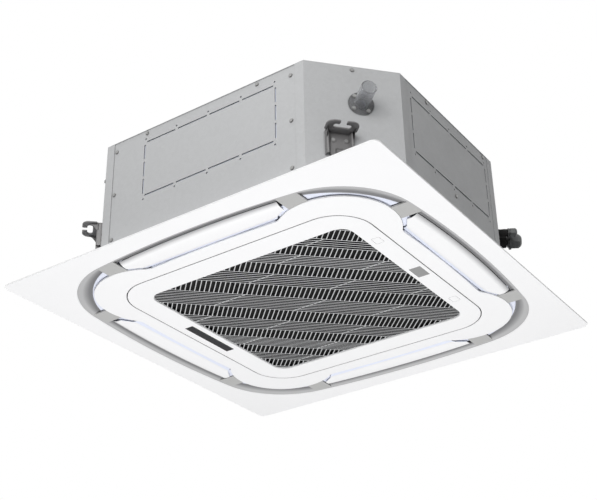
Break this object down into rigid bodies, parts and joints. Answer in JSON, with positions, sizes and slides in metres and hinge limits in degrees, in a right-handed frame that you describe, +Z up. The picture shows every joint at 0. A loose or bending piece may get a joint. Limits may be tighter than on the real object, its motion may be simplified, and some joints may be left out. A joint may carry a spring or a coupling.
{
  "type": "ceiling cassette air conditioner",
  "caption": "Ceiling cassette air conditioner: square panel with bowed louvres round a hinged intake grille, below a galvanised body with fan, coil, drain pump and hanging brackets.",
  "frame": {"origin": "middle of the panel, at the height of the ceiling's lower face, on which the panel's rim bears", "axes": "+Z up into the ceiling; +Y towards the side of the panel where the grille is hinged; +X to the right seen from above, so that the drain corner is at -X -Y and the pipe corner at +X -Y"},
  "size_m": [0.95, 0.95, 0.3054],
  "materials": {
    "galvanised_steel": "dull, finely speckled",
    "screw_steel": "satin",
    "bracket_steel": "dull",
    "foam_lining": "fine beads, matt",
    "black_foam": "closed cell foam, matt",
    "grey_plastic": "matt",
    "coil_aluminium": "satin",
    "copper": "bare copper, dull",
    "nut_brass": "darkened, dull",
    "motor_paint": "satin",
    "black_rubber": "matt",
    "float_plastic": "matt",
    "clear_tube": "clear, slightly clouded",
    "board_green": "lacquered",
    "white_plastic": "smooth, matt",
    "ring_grey": "satin",
    "strap_grey": "satin",
    "liner_white": "matt",
    "lattice_grey": "satin",
    "window_dark": "smooth",
    "plate_grey": "bare, satin",
    "filter_black": "matt"
  },
  "bodies": {
    "unit": {"top_plate": "galvanised_steel", "west_side_panel": "galvanised_steel", "south_side_panel": "galvanised_steel", "east_side_panel": "galvanised_steel", "north_side_panel": "galvanised_steel", "drain_corner_panel": "galvanised_steel", "pipe_corner_panel": "galvanised_steel", "wiring_corner_panel": "galvanised_steel", "plain_corner_panel": "galvanised_steel", "casing_screws": "screw_steel", "drain_corner_hanger": "bracket_steel", "pipe_corner_hanger": "bracket_steel", "wiring_corner_hanger": "bracket_steel", "plain_corner_hanger": "bracket_steel", "casing_insulation": "foam_lining", "base_frame": "galvanised_steel", "drain_pan": "foam_lining", "bell_mouth": "grey_plastic", "coil_fins": "coil_aluminium", "coil_end_plates": "galvanised_steel", "coil_tubes": "copper", "gas_pipe": "copper", "gas_flare_nut": "nut_brass", "liquid_pipe": "copper", "liquid_flare_nut": "nut_brass", "pipe_foam": "black_foam", "fan_motor": "motor_paint", "motor_rubber_mounts": "black_rubber", "drain_pump": "grey_plastic", "pump_hose": "black_rubber", "drain_socket": "grey_plastic", "drain_tube": "clear_tube", "cable_grommet": "black_rubber", "control_box": "galvanised_steel", "control_box_lid": "galvanised_steel", "control_board": "board_green", "panel_seal": "black_foam", "panel_screws": "screw_steel", "panel_frame": "white_plastic", "channel_ring": "ring_grey", "channel_straps": "strap_grey", "duct_liner": "liner_white", "centre_plate": "white_plastic", "louvre_motors": "grey_plastic"},
    "louvre_west": {"louvre_west": "white_plastic"},
    "louvre_south": {"louvre_south": "white_plastic"},
    "louvre_east": {"louvre_east": "white_plastic"},
    "louvre_north": {"louvre_north": "white_plastic"},
    "grille": {"grille_frame": "white_plastic", "grille_lattice": "lattice_grey", "display_window": "window_dark", "badge_plate": "plate_grey"},
    "latch_west": {"latch_west": "white_plastic"},
    "latch_east": {"latch_east": "white_plastic"},
    "filter": {"filter_frame": "filter_black", "filter_mesh": "filter_black"},
    "fan": {"fan_impeller": "grey_plastic", "fan_nut": "screw_steel"},
    "pump_wheel": {"pump_impeller": "grey_plastic"},
    "float": {"float": "float_plastic"}
  },
  "joints": [
    {"name": "west_louvre_turn", "type": "hinge", "parent": "unit", "child": "louvre_west", "pos_m": [-0.361, 0, 0.007], "axis": [0, -1, 0], "range_deg": [0, 45]},
    {"name": "south_louvre_turn", "type": "hinge", "parent": "unit", "child": "louvre_south", "pos_m": [0, -0.361, 0.007], "axis": [1, 0, 0], "range_deg": [0, 45]},
    {"name": "east_louvre_turn", "type": "hinge", "parent": "unit", "child": "louvre_east", "pos_m": [0.361, 0, 0.007], "axis": [0, 1, 0], "range_deg": [0, 45]},
    {"name": "north_louvre_turn", "type": "hinge", "parent": "unit", "child": "louvre_north", "pos_m": [0, 0.361, 0.007], "axis": [-1, 0, 0], "range_deg": [0, 45]},
    {"name": "grille_hinge", "type": "hinge", "parent": "unit", "child": "grille", "pos_m": [0, 0.3145, 0.0015], "axis": [1, 0, 0], "range_deg": [0, 85]},
    {"name": "west_latch_press", "type": "slide", "parent": "grille", "child": "latch_west", "axis": [0, 0, 1], "range_m": [0, 0.003], "stiffness_N_per_m": 300, "springref_m": -0.0005},
    {"name": "east_latch_press", "type": "slide", "parent": "grille", "child": "latch_east", "axis": [0, 0, 1], "range_m": [0, 0.003], "stiffness_N_per_m": 300, "springref_m": -0.0005},
    {"name": "filter_lift", "type": "slide", "parent": "grille", "child": "filter", "axis": [0, 0, 1], "range_m": [0, 0.01]},
    {"name": "fan_spin", "type": "hinge", "parent": "unit", "child": "fan", "pos_m": [0, 0, 0.142], "axis": [0, 0, 1], "continuous": true},
    {"name": "pump_spin", "type": "hinge", "parent": "unit", "child": "pump_wheel", "pos_m": [-0.32482, -0.31336, 0.04], "axis": [0, 0, 1], "continuous": true},
    {"name": "float_rise", "type": "slide", "parent": "unit", "child": "float", "axis": [0, 0, 1], "range_m": [0, 0.012]}
  ]
}
